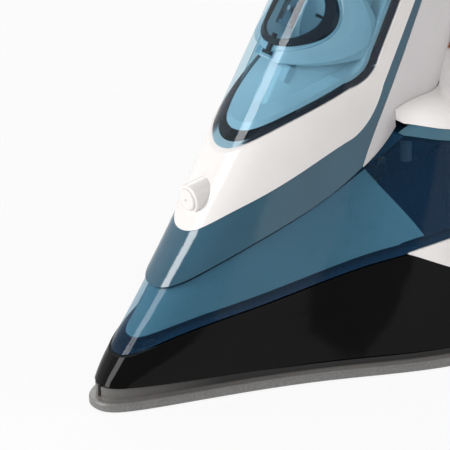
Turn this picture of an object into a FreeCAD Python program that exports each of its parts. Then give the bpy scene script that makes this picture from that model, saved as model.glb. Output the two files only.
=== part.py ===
"""Steam iron: named sub-parts, millimetres, +Z up, nose towards -X, standing flat on its soleplate.

The origin lies under the middle of the overall length. The model is laid out from the nose tip
(x = 0 at the nose, x = overall_length at the heel pads) and shifted when each part is saved.
"""
import FreeCAD, Part
import math
import os
from FreeCAD import Vector

os.makedirs("parts", exist_ok=True)

# ---------------------------------------------------------------- driving dimensions
sole_thickness = 3.2         # visible grey rim of the soleplate
sole_edge_radius = 0.8
upstand_inset = 2.2          # raised wall stands this far inside the rim
upstand_wall = 3.0
upstand_gap = 0.5            # under the skirt
shoulder_height = 79.2       # where the body turns in to the saddle
nose_knee = 7.5              # the nose is upright below this height
nose_lean = 0.84             # backward travel of the nose line per mm of height
nose_softness = 3.0
nose_bend = 52.0             # above this height the nose line is steeper
nose_upper_lean = 0.66
nose_bend_softness = 8.0
pillar_lean = 0.35           # backward travel of the handle pillar's flank above the shoulder

cover_wall = 2.0             # white front cover, its outside is the body surface
handle_wall = 2.4
skirt_inset = 0.8            # how far each skin lies under the body surface
skirt_wall = 2.2
mid_inset = 0.3
lid_inset = 0.4
lid_wall = 2.6
tank_inset = 1.2
tank_lap_inset = 2.6         # joggled edge of the tank under the front covers
tank_lap = 1.2               # height of the joggled edge
tank_wall = 2.0
insert_wall = 1.2
strip_inset = 1.2
saddle_inset = 1.6
saddle_wall = 2.0
tray_depth = 9.0             # floor under the clear lid
tray_wall = 1.4
seam = 0.3                   # panel gap between neighbouring covers
running_gap = 0.4            # around moving pieces
seat = 0.15                  # between pieces that are laid against each other

tower_top = 137.0
strip_height = 3.3           # petrol strip under the saddle
saddle_crown = 85.4
heel_wall = 4.0
heel_pad = 3.5               # rubber pads behind the heel plate
heel_pad_rows = (20.0, 100.0)
heel_pad_radius = 6.0
heel_plug_radius = 4.0       # stem of each pad, pressed into the plate

element_radius = 3.2
element_bed = 1.8            # metal cast around the element
element_front, element_rear = 58.0, 208.0
element_front_spread, element_spread = 15.0, 32.0     # half distances between the legs
element_bend = 13.0
element_z = sole_thickness + element_radius + 0.4
terminal_rise = 24.0         # height of the element's spade tabs
chamber_half = [(66, 0), (66, 5), (72, 8.5), (90, 11.5), (112, 15), (128, 16), (134, 11), (136, 4), (136, 0)]
chamber_wall = 2.4
chamber_top = 10.6
chamber_cover_wall = 1.2
vent_radius = 1.6
floor_bottom, floor_top = 12.0, 14.0                   # inner floor of the skirt
sole_screw_places = [(24, 0), (152, 40), (152, -40), (222, 0)]
sole_post_radius = 4.2
screw_head_height = 1.8
screw_slot = 0.8
screw_head_radius = 3.2
screw_radius = 1.5
thermostat_foot = 6.0        # the thermostat stands on a pad of this height
thermostat_radius = 6.0
fuse_x, fuse_y = 168.0, -12.0
fuse_radius = 2.0

dial_x = 180.0
dial_radius = 21.0
dial_height = 6.0
dial_foot = saddle_crown + running_gap
dial_shaft_radius = 3.0
valve_x = 118.0
valve_rod_radius = 1.6
valve_seat_radius = 5.0
valve_bore = 1.2
valve_top = 53.0
valve_lift = 2.0             # room between the rod's head and the cam plate's travel
hose_radius = 2.0
hose_bend = 8.0
hose_foot = (126.0, 10.0)    # steam hose enters the steam chamber
suction_foot = (125.5, -9.0)
suction_end = 54.0
pump_x = 134.5
pump_y = 8.6
pump_radius = 5.4
pump_wall = 1.2
pump_bottom = 121.0
pump_seat = 136.6            # top of the bracket that carries the pumps
pump_flange = 1.4
plunger_radius = 3.2
barb_radius = 1.2
barb_length = 3.0
hose_spread = 2.7
spring_wire = 0.45
spring_closed = 6.0          # length of the spring with the button pressed
button_stroke = 3.0
pump_top = pump_seat + pump_flange
button_under = pump_top + spring_closed + button_stroke
button_length = 20.0
button_width = 13.0
button_proud = 2.4
slider_x = 116.0
slider_travel = 8.0
slider_proud = 2.8
stem_half_length, stem_half_width = 1.5, 2.0
cam_bottom = 143.5
cam_thickness = 1.4

flap_z = 119.5                        # height of the middle of the filler flap
flap_tilt = 56.0                      # slope of the flap
flap_radius = 16.4
flap_draft = 0.11                     # the flap narrows by this much per mm of depth
tongue_reach, tongue_half_width = 18.8, 3.4           # lifting tongue at the lower edge
flap_hinge_reach = 17.8               # hinge axis above the middle, along the slope
flap_hinge_depth = 3.2
flap_neck_depth = 1.9                 # underside of the neck that carries the knuckle
flap_ear = 6.0                        # half width of the hinge knuckle
flap_swing_gap = 1.3                  # the lid's opening is longer by this at the hinge side
hinge_pin_radius = 0.9
hinge_eye = hinge_pin_radius + 1.3
rivet_radius = 0.9
gasket_radius = 13.3
gasket_width = 2.1
gasket_height = 1.4
gasket_depth = 1.5                    # top of the gasket under the surface of the flap
catch_reach, catch_half_width = 7.4, 3.7
catch_depth = lid_wall + 0.6
catch_thickness = 1.2
collar_radius = 19.6                  # bearing face of the filler cup around the gasket
collar_wall = 1.4
filler_radius = 15.0
filler_bore = 12.4
cup_bottom = 17.5                     # under the middle of the flap
duct_radius = 8.5
duct_wall = 1.5

nozzle_x, nozzle_z = 40.4, 62.2       # middle of the boss face
nozzle_tilt = 6.0
nozzle_boss_radius = 4.8
nozzle_radius = 3.85
nozzle_barb_end = 26.0       # from the boss face

swivel_x, swivel_z = 256.0, 121.0     # middle of the cord ball
swivel_tilt = 55.0
ball_radius = 7.0
swivel_radius = 9.6
socket_wall = 1.6
cord_radius = 3.6
bush_length = 26.0
trunnion_radius = 1.2        # pins of the bush in the swivel ring
trunnion_reach = 9.2
handle_screw_places = [(152, 127.5), (196, 133), (234, 100)]      # x, z
handle_boss_radius = 4.6
handle_screw_head = 8.8      # the screw heads lie this far from the middle plane
handle_screw_length = 13.0
grip_start, grip_end = 160.0, 258.0
heel_screw_y, heel_screw_z = 22.0, 52.0
block_x, block_length, block_width, block_height = 198.0, 17.0, 24.0, 11.0
block_pitch = 8.0            # between neighbouring terminals
terminal_radius = 2.1
cord_wire_radius, lead_radius = 1.1, 0.9
indicator_x = 148.0
indicator_length, indicator_width = 10.0, 5.0

# ---------------------------------------------------------------- outlines
# Half outlines as spline poles (x, y), nose first. The two front shoulders are given from the nose.
FOOT = [(0, 0), (0, 5), (6, 10), (38, 21), (72, 35), (108, 58), (150, 60), (196, 57), (227, 54), (236, 38),
        (236, 0)]
SHOULDER = [(0, 0), (0, 8.8), (8.5, 15.5), (25, 23.5), (108, 26), (110, 52), (150, 51), (205, 46),
            (250, 36), (261, 20), (261, 0)]
NOSE_BOUND = 4               # the first poles travel with the nose line
PILLAR_DEPTH = [(8, 1.06), (20, 0.92), (24, 0.4), (24, 0)]      # behind the flank: x step, width share

# Side views of the seams (x, z).
SKIRT_FRONT = [(-5, 12), (8.9, 17.1), (19.2, 20.8), (32.2, 24.2), (52.5, 27.8), (65.3, 30.2), (81, 33.7),
               (98.7, 38.8)]
SKIRT_PEAK = SKIRT_FRONT[-1]
SKIRT_REAR = [SKIRT_PEAK, (103.2, 36.8), (109.6, 33.7), (150, 22.5), (200, 18), (270, 17)]
TANK_REAR = [SKIRT_PEAK, (104.6, 41.2), (110.4, 43.2), (130, 48.5), (170, 60), (200, 69), (214, 80)]
COVER_FOOT = [(14, 32), (28.5, 38.2), (55.7, 49.6), (78.9, 59.3), (92.6, 66.7)]
WHITE_FOOT = [(24, 45.3), (37.3, 52.8), (45.1, 57.6), (56.3, 62.7), (70.3, 69.1), (82.3, 74.5), (89.5, 77)]
WHITE_CORNER = [(89.5, 77), (95.2, 80.8), (98.7, 85), (102.3, 92.4)]
WHITE_REAR = [(102.3, 92.4), (109.7, 106.6), (115.9, 118.6), (125.5, 139)]
LID_FOOT = [(40, 66.5), (53.4, 75.8), (56, 77.8), (68.4, 84.6), (79.5, 89.2), (90.5, 93.6)]
LID_CORNER = [(90.5, 93.6), (95.9, 95.3), (98.5, 97.2), (101.3, 101.5)]
LID_REAR = [(101.3, 101.5), (105, 108.2), (110.3, 117.9), (119.5, 136.5)]
STRIPE_REAR = [(92.6, 66.7), (95.7, 72.7), (102.2, 84.5), (110.8, 101.6), (118.9, 118.6), (130, 139)]
SHELL_FOOT = [(92.6, 66.7), (101.6, 72.7), (106.2, 77.2)]
INSERT_REAR = [(88.5, 74.5), (94.6, 64.2), (101, 52.3), (105.4, 42.8), (112, 28)]
LID_TOP = 136.5
PANEL_FOOT = 139.0
GRIP_LINE = [(130, PANEL_FOOT), (160, 140.5), (195, 139.5), (225, 134.5), (250, 127.5), (280, 117)]
UNDER_GRIP = [(grip_start, 128), (222, 122), (222, 90), (grip_start, 90)]

# Handle bar: x, middle height, half height, half width.
BAR = [(93, 136, 2.5, 6), (98, 137.5, 8, 17), (108, 138.5, 12.5, 26), (122, 139, 15, 29),
       (142, 137.5, 16, 25), (166, 137, 15.5, 20), (195, 136, 15.5, 18.5), (225, 131, 16, 19),
       (252, 121, 17, 21), (268, 113, 13.5, 19)]
# Rear pillar: height, front x, rear x, half width.
REAR_PILLAR = [(70, 214, 256.5, 31), (84, 224, 261, 25), (98, 226, 265.5, 21.5), (118, 228, 266, 20)]


heel_lean = (SHOULDER[-1][0] - FOOT[-1][0]) / shoulder_height
heel_back = FOOT[-1][0] - skirt_inset + seam + heel_wall     # outer face of the heel plate at z = 0
overall_length = heel_back + heel_lean * (heel_pad_rows[1] + heel_pad_radius) + heel_pad


def save(name, shape):
    """Shift a finished part to the shared origin and write it."""
    shape = shape.copy()
    shape.translate(Vector(-overall_length / 2, 0, 0))
    solids = shape.Solids
    if not solids:
        raise ValueError(name + " has no solid")
    whole = solids[0] if len(solids) == 1 else Part.makeCompound(solids)
    whole.exportStep("parts/" + name + ".step")


# ---------------------------------------------------------------- shape helpers
def pole_curve(points):
    """Clamped cubic spline edge from its poles."""
    curve = Part.BSplineCurve()
    curve.buildFromPoles(points, False, 3)
    return curve.toShape()


def fitted_curve(points):
    """Spline edge through its points, or a straight edge for two."""
    if len(points) == 2:
        return Part.makeLine(points[0], points[1])
    curve = Part.BSplineCurve()
    curve.interpolate(points)
    return curve.toShape()


def inset_half(half, inset):
    """Move a half outline inwards by shifting each pole along its normal."""
    if not inset:
        return half
    moved = []
    last = len(half) - 1
    for i, (x, y) in enumerate(half):
        before = half[max(i - 1, 0)]
        after = half[min(i + 1, last)]
        dx, dy = after[0] - before[0], after[1] - before[1]
        size = math.hypot(dx, dy)
        moved.append((x + inset * dy / size, y - inset * dx / size))
    moved[0] = (half[0][0] + inset, 0)
    moved[1] = (half[0][0] + inset, max(half[1][1] - 0.6 * inset, 0.5))
    moved[-2] = (half[-1][0] - inset, moved[-2][1])
    moved[-1] = (half[-1][0] - inset, 0)
    return moved


def flat_wire(half, z):
    """Closed wire at height z from a half outline and its mirror image."""
    near = [Vector(x, y, z) for x, y in half]
    far = [Vector(x, -y, z) for x, y in reversed(half)]
    return Part.Wire([pole_curve(near), pole_curve(far)])


def soft_rise(rise, softness):
    """Zero below and straight above, with a rounded corner."""
    return (rise + math.hypot(rise, softness)) / 2


def nose_line(z):
    """How far the nose has moved back at height z."""
    lower = nose_lean * soft_rise(z - nose_knee, nose_softness)
    return lower - (nose_lean - nose_upper_lean) * soft_rise(z - nose_bend, nose_bend_softness)


def flank(z):
    """Poles from the nose to the flank, shared by the body and the handle pillar."""
    share = min(z / shoulder_height, 1)
    shift = pillar_lean * max(z - shoulder_height, 0)
    poles = []
    for i, (foot, top) in enumerate(zip(FOOT, SHOULDER)):
        x = foot[0] + (top[0] - foot[0]) * share
        y = foot[1] + (top[1] - foot[1]) * share
        poles.append((x + (nose_line(z) if i < NOSE_BOUND else shift), y))
    return poles


def body_half(z):
    return flank(z)


def pillar_half(z):
    poles = flank(z)[:NOSE_BOUND + 1]
    x, y = poles[-1]
    return poles + [(x + step, y * share) for step, share in PILLAR_DEPTH]


def hull(half, heights, inset):
    """Closed body through the outlines at the given heights. The lean of the nose is allowed for."""
    return Part.makeLoft([flat_wire(inset_half(half(z), inset), z) for z in heights], True, False)


def body_hull(inset):
    return hull(body_half, (5, 12, 24, 42, 60, shoulder_height + 0.3), inset)


def pillar_hull(inset, top=tower_top):
    return hull(pillar_half, (24, 42, 60, 80, 100, 120, top), inset)


def rounded_section(x, z, high, wide):
    """Closed soft rectangle across the handle bar."""
    corner = 0.62
    shares = [(1, -corner), (1, corner), (corner, 1), (-corner, 1), (-1, corner), (-1, -corner),
              (-corner, -1), (corner, -1)]
    curve = Part.BSplineCurve()
    curve.buildFromPoles([Vector(x, a * wide * 1.08, z + b * high * 1.08) for a, b in shares], True, 3)
    return Part.Wire([curve.toShape()])


def bar_hull(inset):
    sections = []
    for i, (x, z, high, wide) in enumerate(BAR):
        shift = inset if i == 0 else -inset if i == len(BAR) - 1 else 0
        sections.append(rounded_section(x + shift, z, max(high - inset, 0.6), max(wide - inset, 1.5)))
    return Part.makeLoft(sections, True, False)


def rear_pillar_hull(inset):
    wires = []
    for z, front, rear, wide in REAR_PILLAR:
        half = [(front, 0), (front, wide * 0.5), (front + 6, wide), (rear - 12, wide), (rear, wide * 0.8),
                (rear, 0)]
        wires.append(flat_wire(inset_half(half, inset), z))
    return Part.makeLoft(wires, True, False)


def handle_hull(inset):
    """Front pillar, bar and rear pillar as one body."""
    return pillar_hull(inset).fuse([bar_hull(inset), rear_pillar_hull(inset)])


def prism(*curves, y0=-90.0, y1=90.0):
    """Body with the given closed side view; every curve is a list of (x, z)."""
    edges = [fitted_curve([Vector(x, y0, z) for x, z in curve]) for curve in curves]
    return Part.Face(Part.Wire(edges)).extrude(Vector(0, y1 - y0, 0))


def polygon_prism(points, y0=-90.0, y1=90.0):
    loop = [Vector(x, y0, z) for x, z in points]
    return Part.Face(Part.makePolygon(loop + loop[:1])).extrude(Vector(0, y1 - y0, 0))


def box(x0, x1, y0, y1, z0, z1):
    return Part.makeBox(x1 - x0, y1 - y0, z1 - z0, Vector(x0, y0, z0))


def rod(radius, start, end):
    """Cylinder between two points."""
    start, end = Vector(*start), Vector(*end)
    return Part.makeCylinder(radius, (end - start).Length, start, end - start)


def upright(radius, x, y, z0, z1):
    return Part.makeCylinder(radius, z1 - z0, Vector(x, y, z0))


def tube(outer, inner, x, y, z0, z1):
    return upright(outer, x, y, z0, z1).cut(upright(inner, x, y, z0 - 1, z1 + 1))


def bent_rod(radius, points, bend):
    """Round rod through the points with an arc of the given radius at each inner corner."""
    points = [Vector(*p) for p in points]
    edges = []
    start = points[0]
    for before, corner, after in zip(points, points[1:], points[2:]):
        into = (corner - before).normalize()
        out = (after - corner).normalize()
        turn = into.getAngle(out)
        reach = bend * math.tan(turn / 2)
        first = corner - into * reach
        second = corner + out * reach
        inward = (out - into).normalize()
        middle = corner + inward * (bend / math.cos(turn / 2) - bend)
        edges.append(Part.makeLine(start, first))
        edges.append(Part.Arc(first, middle, second).toShape())
        start = second
    edges.append(Part.makeLine(start, points[-1]))
    path = Part.Wire(edges)
    ring = Part.Wire([Part.Circle(points[0], points[1] - points[0], radius).toShape()])
    return path.makePipeShell([ring], True, False)


def mirrored(shape):
    return shape.mirror(Vector(0, 0, 0), Vector(0, 1, 0))


def screw_blank(x, y, z, length, head, shank):
    """Round head with its top at z and a shank pointing down."""
    top = upright(head, x, y, z - screw_head_height, z)
    return top.fuse(upright(shank, x, y, z - screw_head_height - length, z - 1))


def slotted_screw(x, y, z, length, head, shank):
    slot = box(x - head, x + head, y - screw_slot / 2, y + screw_slot / 2, z - screw_slot, z)
    return screw_blank(x, y, z, length, head, shank).cut(slot)


def shifted(shape, x=0.0, y=0.0, z=0.0):
    moved = shape.copy()
    moved.translate(Vector(x, y, z))
    return moved


def raised(curve, z):
    return [(px, pz + z) for px, pz in curve]


def back(curve):
    return curve[::-1]


def closed(points):
    """Consecutive straight sides for prism()."""
    return [[a, b] for a, b in zip(points, points[1:])]


# ---------------------------------------------------------------- side-view regions
FAR = 300.0                  # beyond the part on every side
SKIRT_BOTTOM = [(-5, 8.4), (60, 6.4), (270, 6.4)]
strip_foot = shoulder_height - strip_height


def skirt_region():
    front, rear = raised(SKIRT_FRONT, -seam), raised(SKIRT_REAR, -seam)
    return prism(*closed(SKIRT_BOTTOM + [rear[-1]]), back(rear), back(front), [front[0], SKIRT_BOTTOM[0]])


def tank_region():
    """Under the covers and the handle foot, above the skirt and the rear shell."""
    rear = raised(TANK_REAR, seam)
    foot = raised(SHELL_FOOT, -seam)
    lap = raised(COVER_FOOT[:-1], tank_lap)
    lap_end = raised(COVER_FOOT, -seam)[-2]
    crest = (foot[-1][0] + 2 * (rear[-1][1] - foot[-1][1]), rear[-1][1])
    area = prism(SKIRT_FRONT, [SKIRT_PEAK, rear[0]], rear, [rear[-1], crest], [crest, foot[-1]],
                 back(foot), [foot[0], lap_end], [lap_end, lap[-1]], back(lap),
                 [lap[0], SKIRT_FRONT[0]])
    return area.cut(box(0, FAR, -90, 90, strip_foot - seam, 120))


def tank_face_region():
    """The tank without its joggled edge under the front covers."""
    edge = raised(COVER_FOOT, -seam)
    start, end = edge[0], edge[-1]
    return tank_region().cut(prism(edge, *closed([end, (end[0], 120), (start[0], 120), start])))


def rear_region():
    end, top = SKIRT_REAR[-1], TANK_REAR[-1]
    return prism(SKIRT_REAR, [end, (end[0], top[1])], [(end[0], top[1]), top], back(TANK_REAR))


def mid_region():
    return prism(raised(COVER_FOOT, 0), STRIPE_REAR, [STRIPE_REAR[-1], WHITE_REAR[-1]], back(WHITE_REAR),
                 back(WHITE_CORNER), back(WHITE_FOOT), [WHITE_FOOT[0], COVER_FOOT[0]])


def white_region():
    left = (80, PANEL_FOOT)
    return prism(WHITE_FOOT, WHITE_CORNER, WHITE_REAR, [WHITE_REAR[-1], left], [left, WHITE_FOOT[0]])


def lid_region(margin=0.0):
    """Opening of the lid, grown by a margin on every side."""
    outline = LID_FOOT + LID_CORNER[1:] + LID_REAR[1:]
    last = len(outline) - 1
    moved = []
    for i, (x, z) in enumerate(outline):
        before, after = outline[max(i - 1, 0)], outline[min(i + 1, last)]
        dx, dz = after[0] - before[0], after[1] - before[1]
        size = math.hypot(dx, dz)
        moved.append((x + margin * dz / size, z - margin * dx / size))
    corner, rear = len(LID_FOOT) - 1, len(LID_FOOT) + len(LID_CORNER) - 2
    left = (80, moved[-1][1])
    area = prism(moved[:corner + 1], moved[corner:rear + 1], moved[rear:],
                 *closed([moved[-1], left, moved[0]]))
    return area.common(box(0, FAR, -90, 90, 0, LID_TOP + margin))


def top_region(start, end):
    """Above the grip line between two lengths, open to the front below start = 130."""
    area = prism(GRIP_LINE, *closed([GRIP_LINE[-1], (GRIP_LINE[-1][0], 170), (60, 170), (60, PANEL_FOOT),
                                     GRIP_LINE[0]]))
    return area.common(box(start, end, -90, 90, 0, 200))


def handle_region():
    """Behind the petrol stripe, above the handle foot, under the grip line."""
    front, rear = SHELL_FOOT[-1], GRIP_LINE[-1]
    floor = shoulder_height + seam
    return prism(SHELL_FOOT, *closed([front, (front[0], floor), (rear[0], floor), rear]), back(GRIP_LINE),
                 back(STRIPE_REAR))


def body_of(make_hull, inset, region):
    return make_hull(inset).common(region)


def skin(make_hull, inset, wall, region):
    """Part of a hull's skin inside a side-view region."""
    return make_hull(inset).common(region).cut(make_hull(inset + wall))


# ---------------------------------------------------------------- soleplate and steam chamber
def element_tube(radius):
    """U-shaped rod, narrow at the nose."""
    points = [(element_rear, -element_spread, element_z), (element_front, -element_front_spread, element_z),
              (element_front, element_front_spread, element_z), (element_rear, element_spread, element_z)]
    return bent_rod(radius, points, element_bend)


def vent_places():
    """Steam vents: a cluster at the nose and a row along each side of the chamber."""
    places = [(38, 0), (45, 4), (45, -4)]
    for i in range(8):
        x = 74 + 7 * i
        y = 3.6 + 0.95 * i
        places += [(x, y), (x, -y)]
    return places


def soleplate():
    base = Part.Face(flat_wire(FOOT, 0)).extrude(Vector(0, 0, sole_thickness))
    rims = [e for e in base.Edges if abs(e.BoundBox.ZMax - e.BoundBox.ZMin) < 0.01]
    base = base.makeFillet(sole_edge_radius, rims)
    outer, inner = inset_half(FOOT, upstand_inset), inset_half(FOOT, upstand_inset + upstand_wall)
    rise = Vector(0, 0, SKIRT_BOTTOM[0][1] - sole_thickness + 1)
    wall = Part.Face(flat_wire(outer, sole_thickness - 1)).extrude(rise)
    wall = wall.cut(Part.Face(flat_wire(inner, sole_thickness - 2)).extrude(rise * 2))
    limit = raised(SKIRT_BOTTOM, -upstand_gap)
    keep = prism(*closed([(-5, -5)] + limit + [(limit[-1][0], -5), (-5, -5)]))
    chamber = Part.Face(flat_wire(chamber_half, sole_thickness - 1))
    ring = chamber.extrude(Vector(0, 0, chamber_top - sole_thickness + 1))
    pocket = Part.Face(flat_wire(inset_half(chamber_half, chamber_wall), sole_thickness))
    ring = ring.cut(pocket.extrude(Vector(0, 0, 20)))
    below = box(0, FAR, -60, 60, sole_thickness - 1, element_z)
    bed = element_tube(element_radius + element_bed).common(below)
    plate = base.fuse([wall.common(keep), ring, bed])
    for x, y in sole_screw_places:
        plate = plate.fuse(upright(sole_post_radius, x, y, sole_thickness - 1, floor_bottom - seat))
    plate = plate.fuse(upright(thermostat_radius + 2.5, dial_x, 0, sole_thickness - 1, thermostat_foot))
    plate = plate.cut(element_tube(element_radius))
    for x, y in vent_places():
        plate = plate.cut(upright(vent_radius, x, y, -1, sole_thickness + 1))
    for x, y in sole_screw_places:
        plate = plate.cut(upright(screw_radius, x, y, sole_thickness, floor_bottom + 5))
    notch = box(-2, upstand_inset + upstand_wall + 2, -0.8, 0.8, sole_thickness + 0.4, 30)
    return plate.cut(notch)


def heating_element():
    return element_tube(element_radius)


def element_terminals():
    """Ceramic end beads with upright spade tabs at both ends of the element."""
    pieces = []
    for y in (-element_spread, element_spread):
        start = element_rear + 0.4
        bead = rod(element_radius - 0.4, (start, y, element_z), (element_rear + 7, y, element_z))
        post = box(element_rear + 3.5, element_rear + 6, y - 0.8, y + 0.8, element_z, terminal_rise)
        tab = box(element_rear + 1.5, element_rear + 8, y - 0.4, y + 0.4, floor_top + 3, terminal_rise + 6)
        pieces.append(bead.fuse([post, tab]))
    return Part.makeCompound(pieces)


def steam_chamber_cover():
    outline = flat_wire(chamber_half, chamber_top)
    plate = Part.Face(outline).extrude(Vector(0, 0, chamber_cover_wall))
    return plate.cut([upright(valve_seat_radius, valve_x, 0, 0, 30),
                      upright(hose_radius, *hose_foot, 0, 30)])


def drip_valve_seat():
    """Tube that drops water from the tank into the steam chamber."""
    body = upright(valve_seat_radius - seat / 2, valve_x, 0, chamber_top, valve_top)
    flange = upright(valve_seat_radius + 2, valve_x, 0, floor_top + seat, floor_top + 2)
    cone = Part.makeCone(valve_bore, valve_bore + 1.8, 4, Vector(valve_x, 0, valve_top - 4))
    return body.fuse(flange).cut(upright(valve_bore, valve_x, 0, 0, 80)).cut(cone)


# ---------------------------------------------------------------- thermostat
def thermostat_body():
    """Ceramic stack on a steel foot."""
    foot = box(dial_x - 12, dial_x + 9, -6, 6, thermostat_foot, thermostat_foot + 1.2)
    stack = tube(thermostat_radius, dial_shaft_radius - 1 + running_gap, dial_x, 0, thermostat_foot + 1, 26)
    contact = box(dial_x + 4, dial_x + 15, -4, 4, 18, 20)
    return foot.fuse([stack, contact]).cut(upright(dial_shaft_radius - 1 + running_gap, dial_x, 0, 0, 40))


def thermostat_bimetal():
    low, high = (dial_x - 11, thermostat_foot + 1.2), (dial_x - 18, thermostat_foot + 3.4)
    strip = Part.makePolygon([Vector(x, -3.5, z) for x, z in
                              ((low[0], low[1]), (low[0] + 4, low[1]), (low[0] + 4, low[1] + 0.8),
                               (low[0], low[1] + 0.8), (high[0], high[1] + 0.8), high, low)])
    return Part.Face(strip).extrude(Vector(0, 7, 0))


def dial_shaft():
    """Adjusting screw under the dial, down through the tank well to the thermostat."""
    top = dial_foot + 2.5
    thin = upright(dial_shaft_radius - 1, dial_x, 0, thermostat_foot + 2, 30)
    body = upright(dial_shaft_radius, dial_x, 0, 27, top)
    flat = box(dial_x + dial_shaft_radius - 0.7, dial_x + 9, -9, 9, top - 6, top + 1)
    return thin.fuse(body).cut(flat)


def temperature_dial():
    """Ribbed thumb wheel lying on the saddle under the handle."""
    wheel = upright(dial_radius, dial_x, 0, dial_foot, dial_foot + dial_height)
    rims = [e for e in wheel.Edges if e.Length > 6 * dial_radius]
    wheel = wheel.makeChamfer(0.9, rims)
    hollow = upright(dial_radius - 3, dial_x, 0, dial_foot - 1, dial_foot + dial_height - 2.2)
    hub = upright(dial_shaft_radius + 2.5, dial_x, 0, dial_foot, dial_foot + dial_height - 1)
    wheel = wheel.cut(hollow).fuse(hub)
    for i in range(36):
        angle = math.radians(10 * i + 5)
        x, y = dial_x + dial_radius * math.cos(angle), dial_radius * math.sin(angle)
        wheel = wheel.cut(upright(0.8, x, y, 0, 120))
    shaft_hole = upright(dial_shaft_radius, dial_x, 0, 0, dial_foot + 2.5)
    flat = box(dial_x + dial_shaft_radius - 0.7, dial_x + 9, -9, 9, 0, 120)
    return wheel.cut(shaft_hole.cut(flat))


def thermal_fuse():
    """Axial cut-out clipped to the soleplate beside the thermostat."""
    z = sole_thickness + 3.2
    can = rod(fuse_radius, (fuse_x - 7, fuse_y, z), (fuse_x + 7, fuse_y, z))
    leads = rod(0.6, (fuse_x - 16, fuse_y, z), (fuse_x + 16, fuse_y, z))
    clip = box(fuse_x - 3, fuse_x + 3, fuse_y - 3, fuse_y + 3, sole_thickness, z + 2.6)
    return can.fuse([leads, clip])


# ---------------------------------------------------------------- body skins
def skirt():
    wall = skin(body_hull, skirt_inset, skirt_wall, skirt_region())
    floor = body_hull(skirt_inset + skirt_wall - 0.4).common(box(0, FAR, -90, 90, floor_bottom, floor_top))
    floor = floor.cut(upright(valve_seat_radius, valve_x, 0, 0, 30))
    floor = floor.cut([upright(hose_radius + seat, *hose_foot, 0, 30),
                       upright(thermostat_radius + 2.5, dial_x, 0, 0, 30)])
    for x, y in sole_screw_places:
        floor = floor.cut(upright(screw_radius + seat, x, y, 0, 30))
    for y in (-element_spread, element_spread):
        floor = floor.cut(box(element_rear, element_rear + 9, y - 3, y + 3, 0, 30))
    return wall.fuse(floor)


def sole_screws():
    length = floor_top - sole_thickness - 1
    return Part.makeCompound([slotted_screw(x, y, floor_top + screw_head_height, length, screw_head_radius,
                                            screw_radius) for x, y in sole_screw_places])


def tank_block():
    """Outside of the tank as one solid."""
    face = body_of(body_hull, tank_inset, tank_face_region())
    return face.fuse(body_of(body_hull, tank_lap_inset, tank_region()))


def tank_space(gap):
    """Inside of the tank, this far from its walls."""
    margin = tank_wall + gap
    spaces = []
    for inset, region in ((tank_inset, tank_face_region()), (tank_lap_inset, tank_region())):
        space = body_hull(inset + margin).common(region)
        spaces.append(space.common(shifted(region, z=margin)).common(shifted(region, z=-margin)))
    return spaces[0].fuse(spaces[1])


def water_tank():
    outer = tank_block()
    tank = outer.cut(tank_space(0))
    well = dial_shaft_radius + running_gap
    tank = tank.fuse(upright(well + 1.5, dial_x, 0, 0, 120).common(outer))
    duct_hole = upright(duct_radius - duct_wall, duct_x(), 0, 66, 120)
    tank = tank.cut([upright(well, dial_x, 0, 0, 120), duct_hole])
    rod_hole = upright(valve_rod_radius + running_gap, valve_x, 0, 66, 120)
    suction_hole = upright(hose_radius + seat, *suction_foot, 66, 120)
    hose_hole = upright(hose_radius + seat, *hose_foot, 0, 120)
    seat_hole = upright(valve_seat_radius, valve_x, 0, 0, valve_top + 3)
    return tank.cut([rod_hole, suction_hole, hose_hole, seat_hole])


def tank_insert():
    """Petrol panel clipped inside the front of the clear tank."""
    rear = INSERT_REAR
    ahead = prism(rear, *closed([rear[-1], (-20, rear[-1][1] - 30), (-20, rear[0][1]), rear[0]]))
    return tank_space(seat).common(ahead).cut(body_hull(tank_inset + tank_wall + seat + insert_wall))


def tank_trim():
    """Petrol strip around the shoulder under the saddle."""
    before, last = SHELL_FOOT[-2:]
    foot_slope = (last[0] - before[0]) / (last[1] - before[1])
    low, high = strip_foot, shoulder_height + seam - 0.1
    front = [(last[0] + foot_slope * (z - last[1] + seam), z) for z in (low, high)]
    region = prism(*closed([front[0], (208, low), (212, high), front[1], front[0]]))
    pillar = pillar_hull(-seam).common(box(0, last[0] + 3, -90, 90, last[1], 99))
    return skin(body_hull, strip_inset, 2.0, region).cut(pillar)


def saddle_hull(inset, drop):
    steps = [(0, 0), (3.2, 2.6), (5.3, 7.4), (saddle_crown - shoulder_height - seam, 15.4)]
    outline = body_half(shoulder_height)
    foot = shoulder_height + seam - drop
    edge = saddle_inset + inset
    wires = [flat_wire(inset_half(outline, edge + more), foot + rise) for rise, more in steps]
    return Part.makeLoft(wires, True, False)


def saddle():
    """White deck under the handle, closed over the tank and the rear shell."""
    deck = saddle_hull(0, 0).cut(saddle_hull(saddle_wall, saddle_wall))
    deck = deck.cut([pillar_hull(-seam), rear_pillar_hull(-seam),
                     box(0, SHELL_FOOT[-1][0], -90, 90, 60, 120),
                     upright(dial_shaft_radius + running_gap, dial_x, 0, 60, 120),
                     indicator_block(0, 60, 120)])
    return max(deck.Solids, key=lambda solid: solid.Volume)


def rear_shell():
    """Petrol shell under the saddle, behind the tank, with pilot holes for the heel plate's screws."""
    return skin(body_hull, skirt_inset, skirt_wall, rear_region()).cut(heel_screw_blanks(0.02))


def heel_outline():
    """Rounded trapezium seen from behind."""
    half = [(0, 9), (30, 9), (41, 10), (41, 24), (34, 60), (27, 98), (25, 112), (18, 114), (0, 114)]
    right = pole_curve([Vector(0, y, z) for y, z in half])
    left = pole_curve([Vector(0, -y, z) for y, z in reversed(half)])
    return Part.Face(Part.Wire([right, left])).extrude(Vector(FAR, 0, 0))


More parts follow.
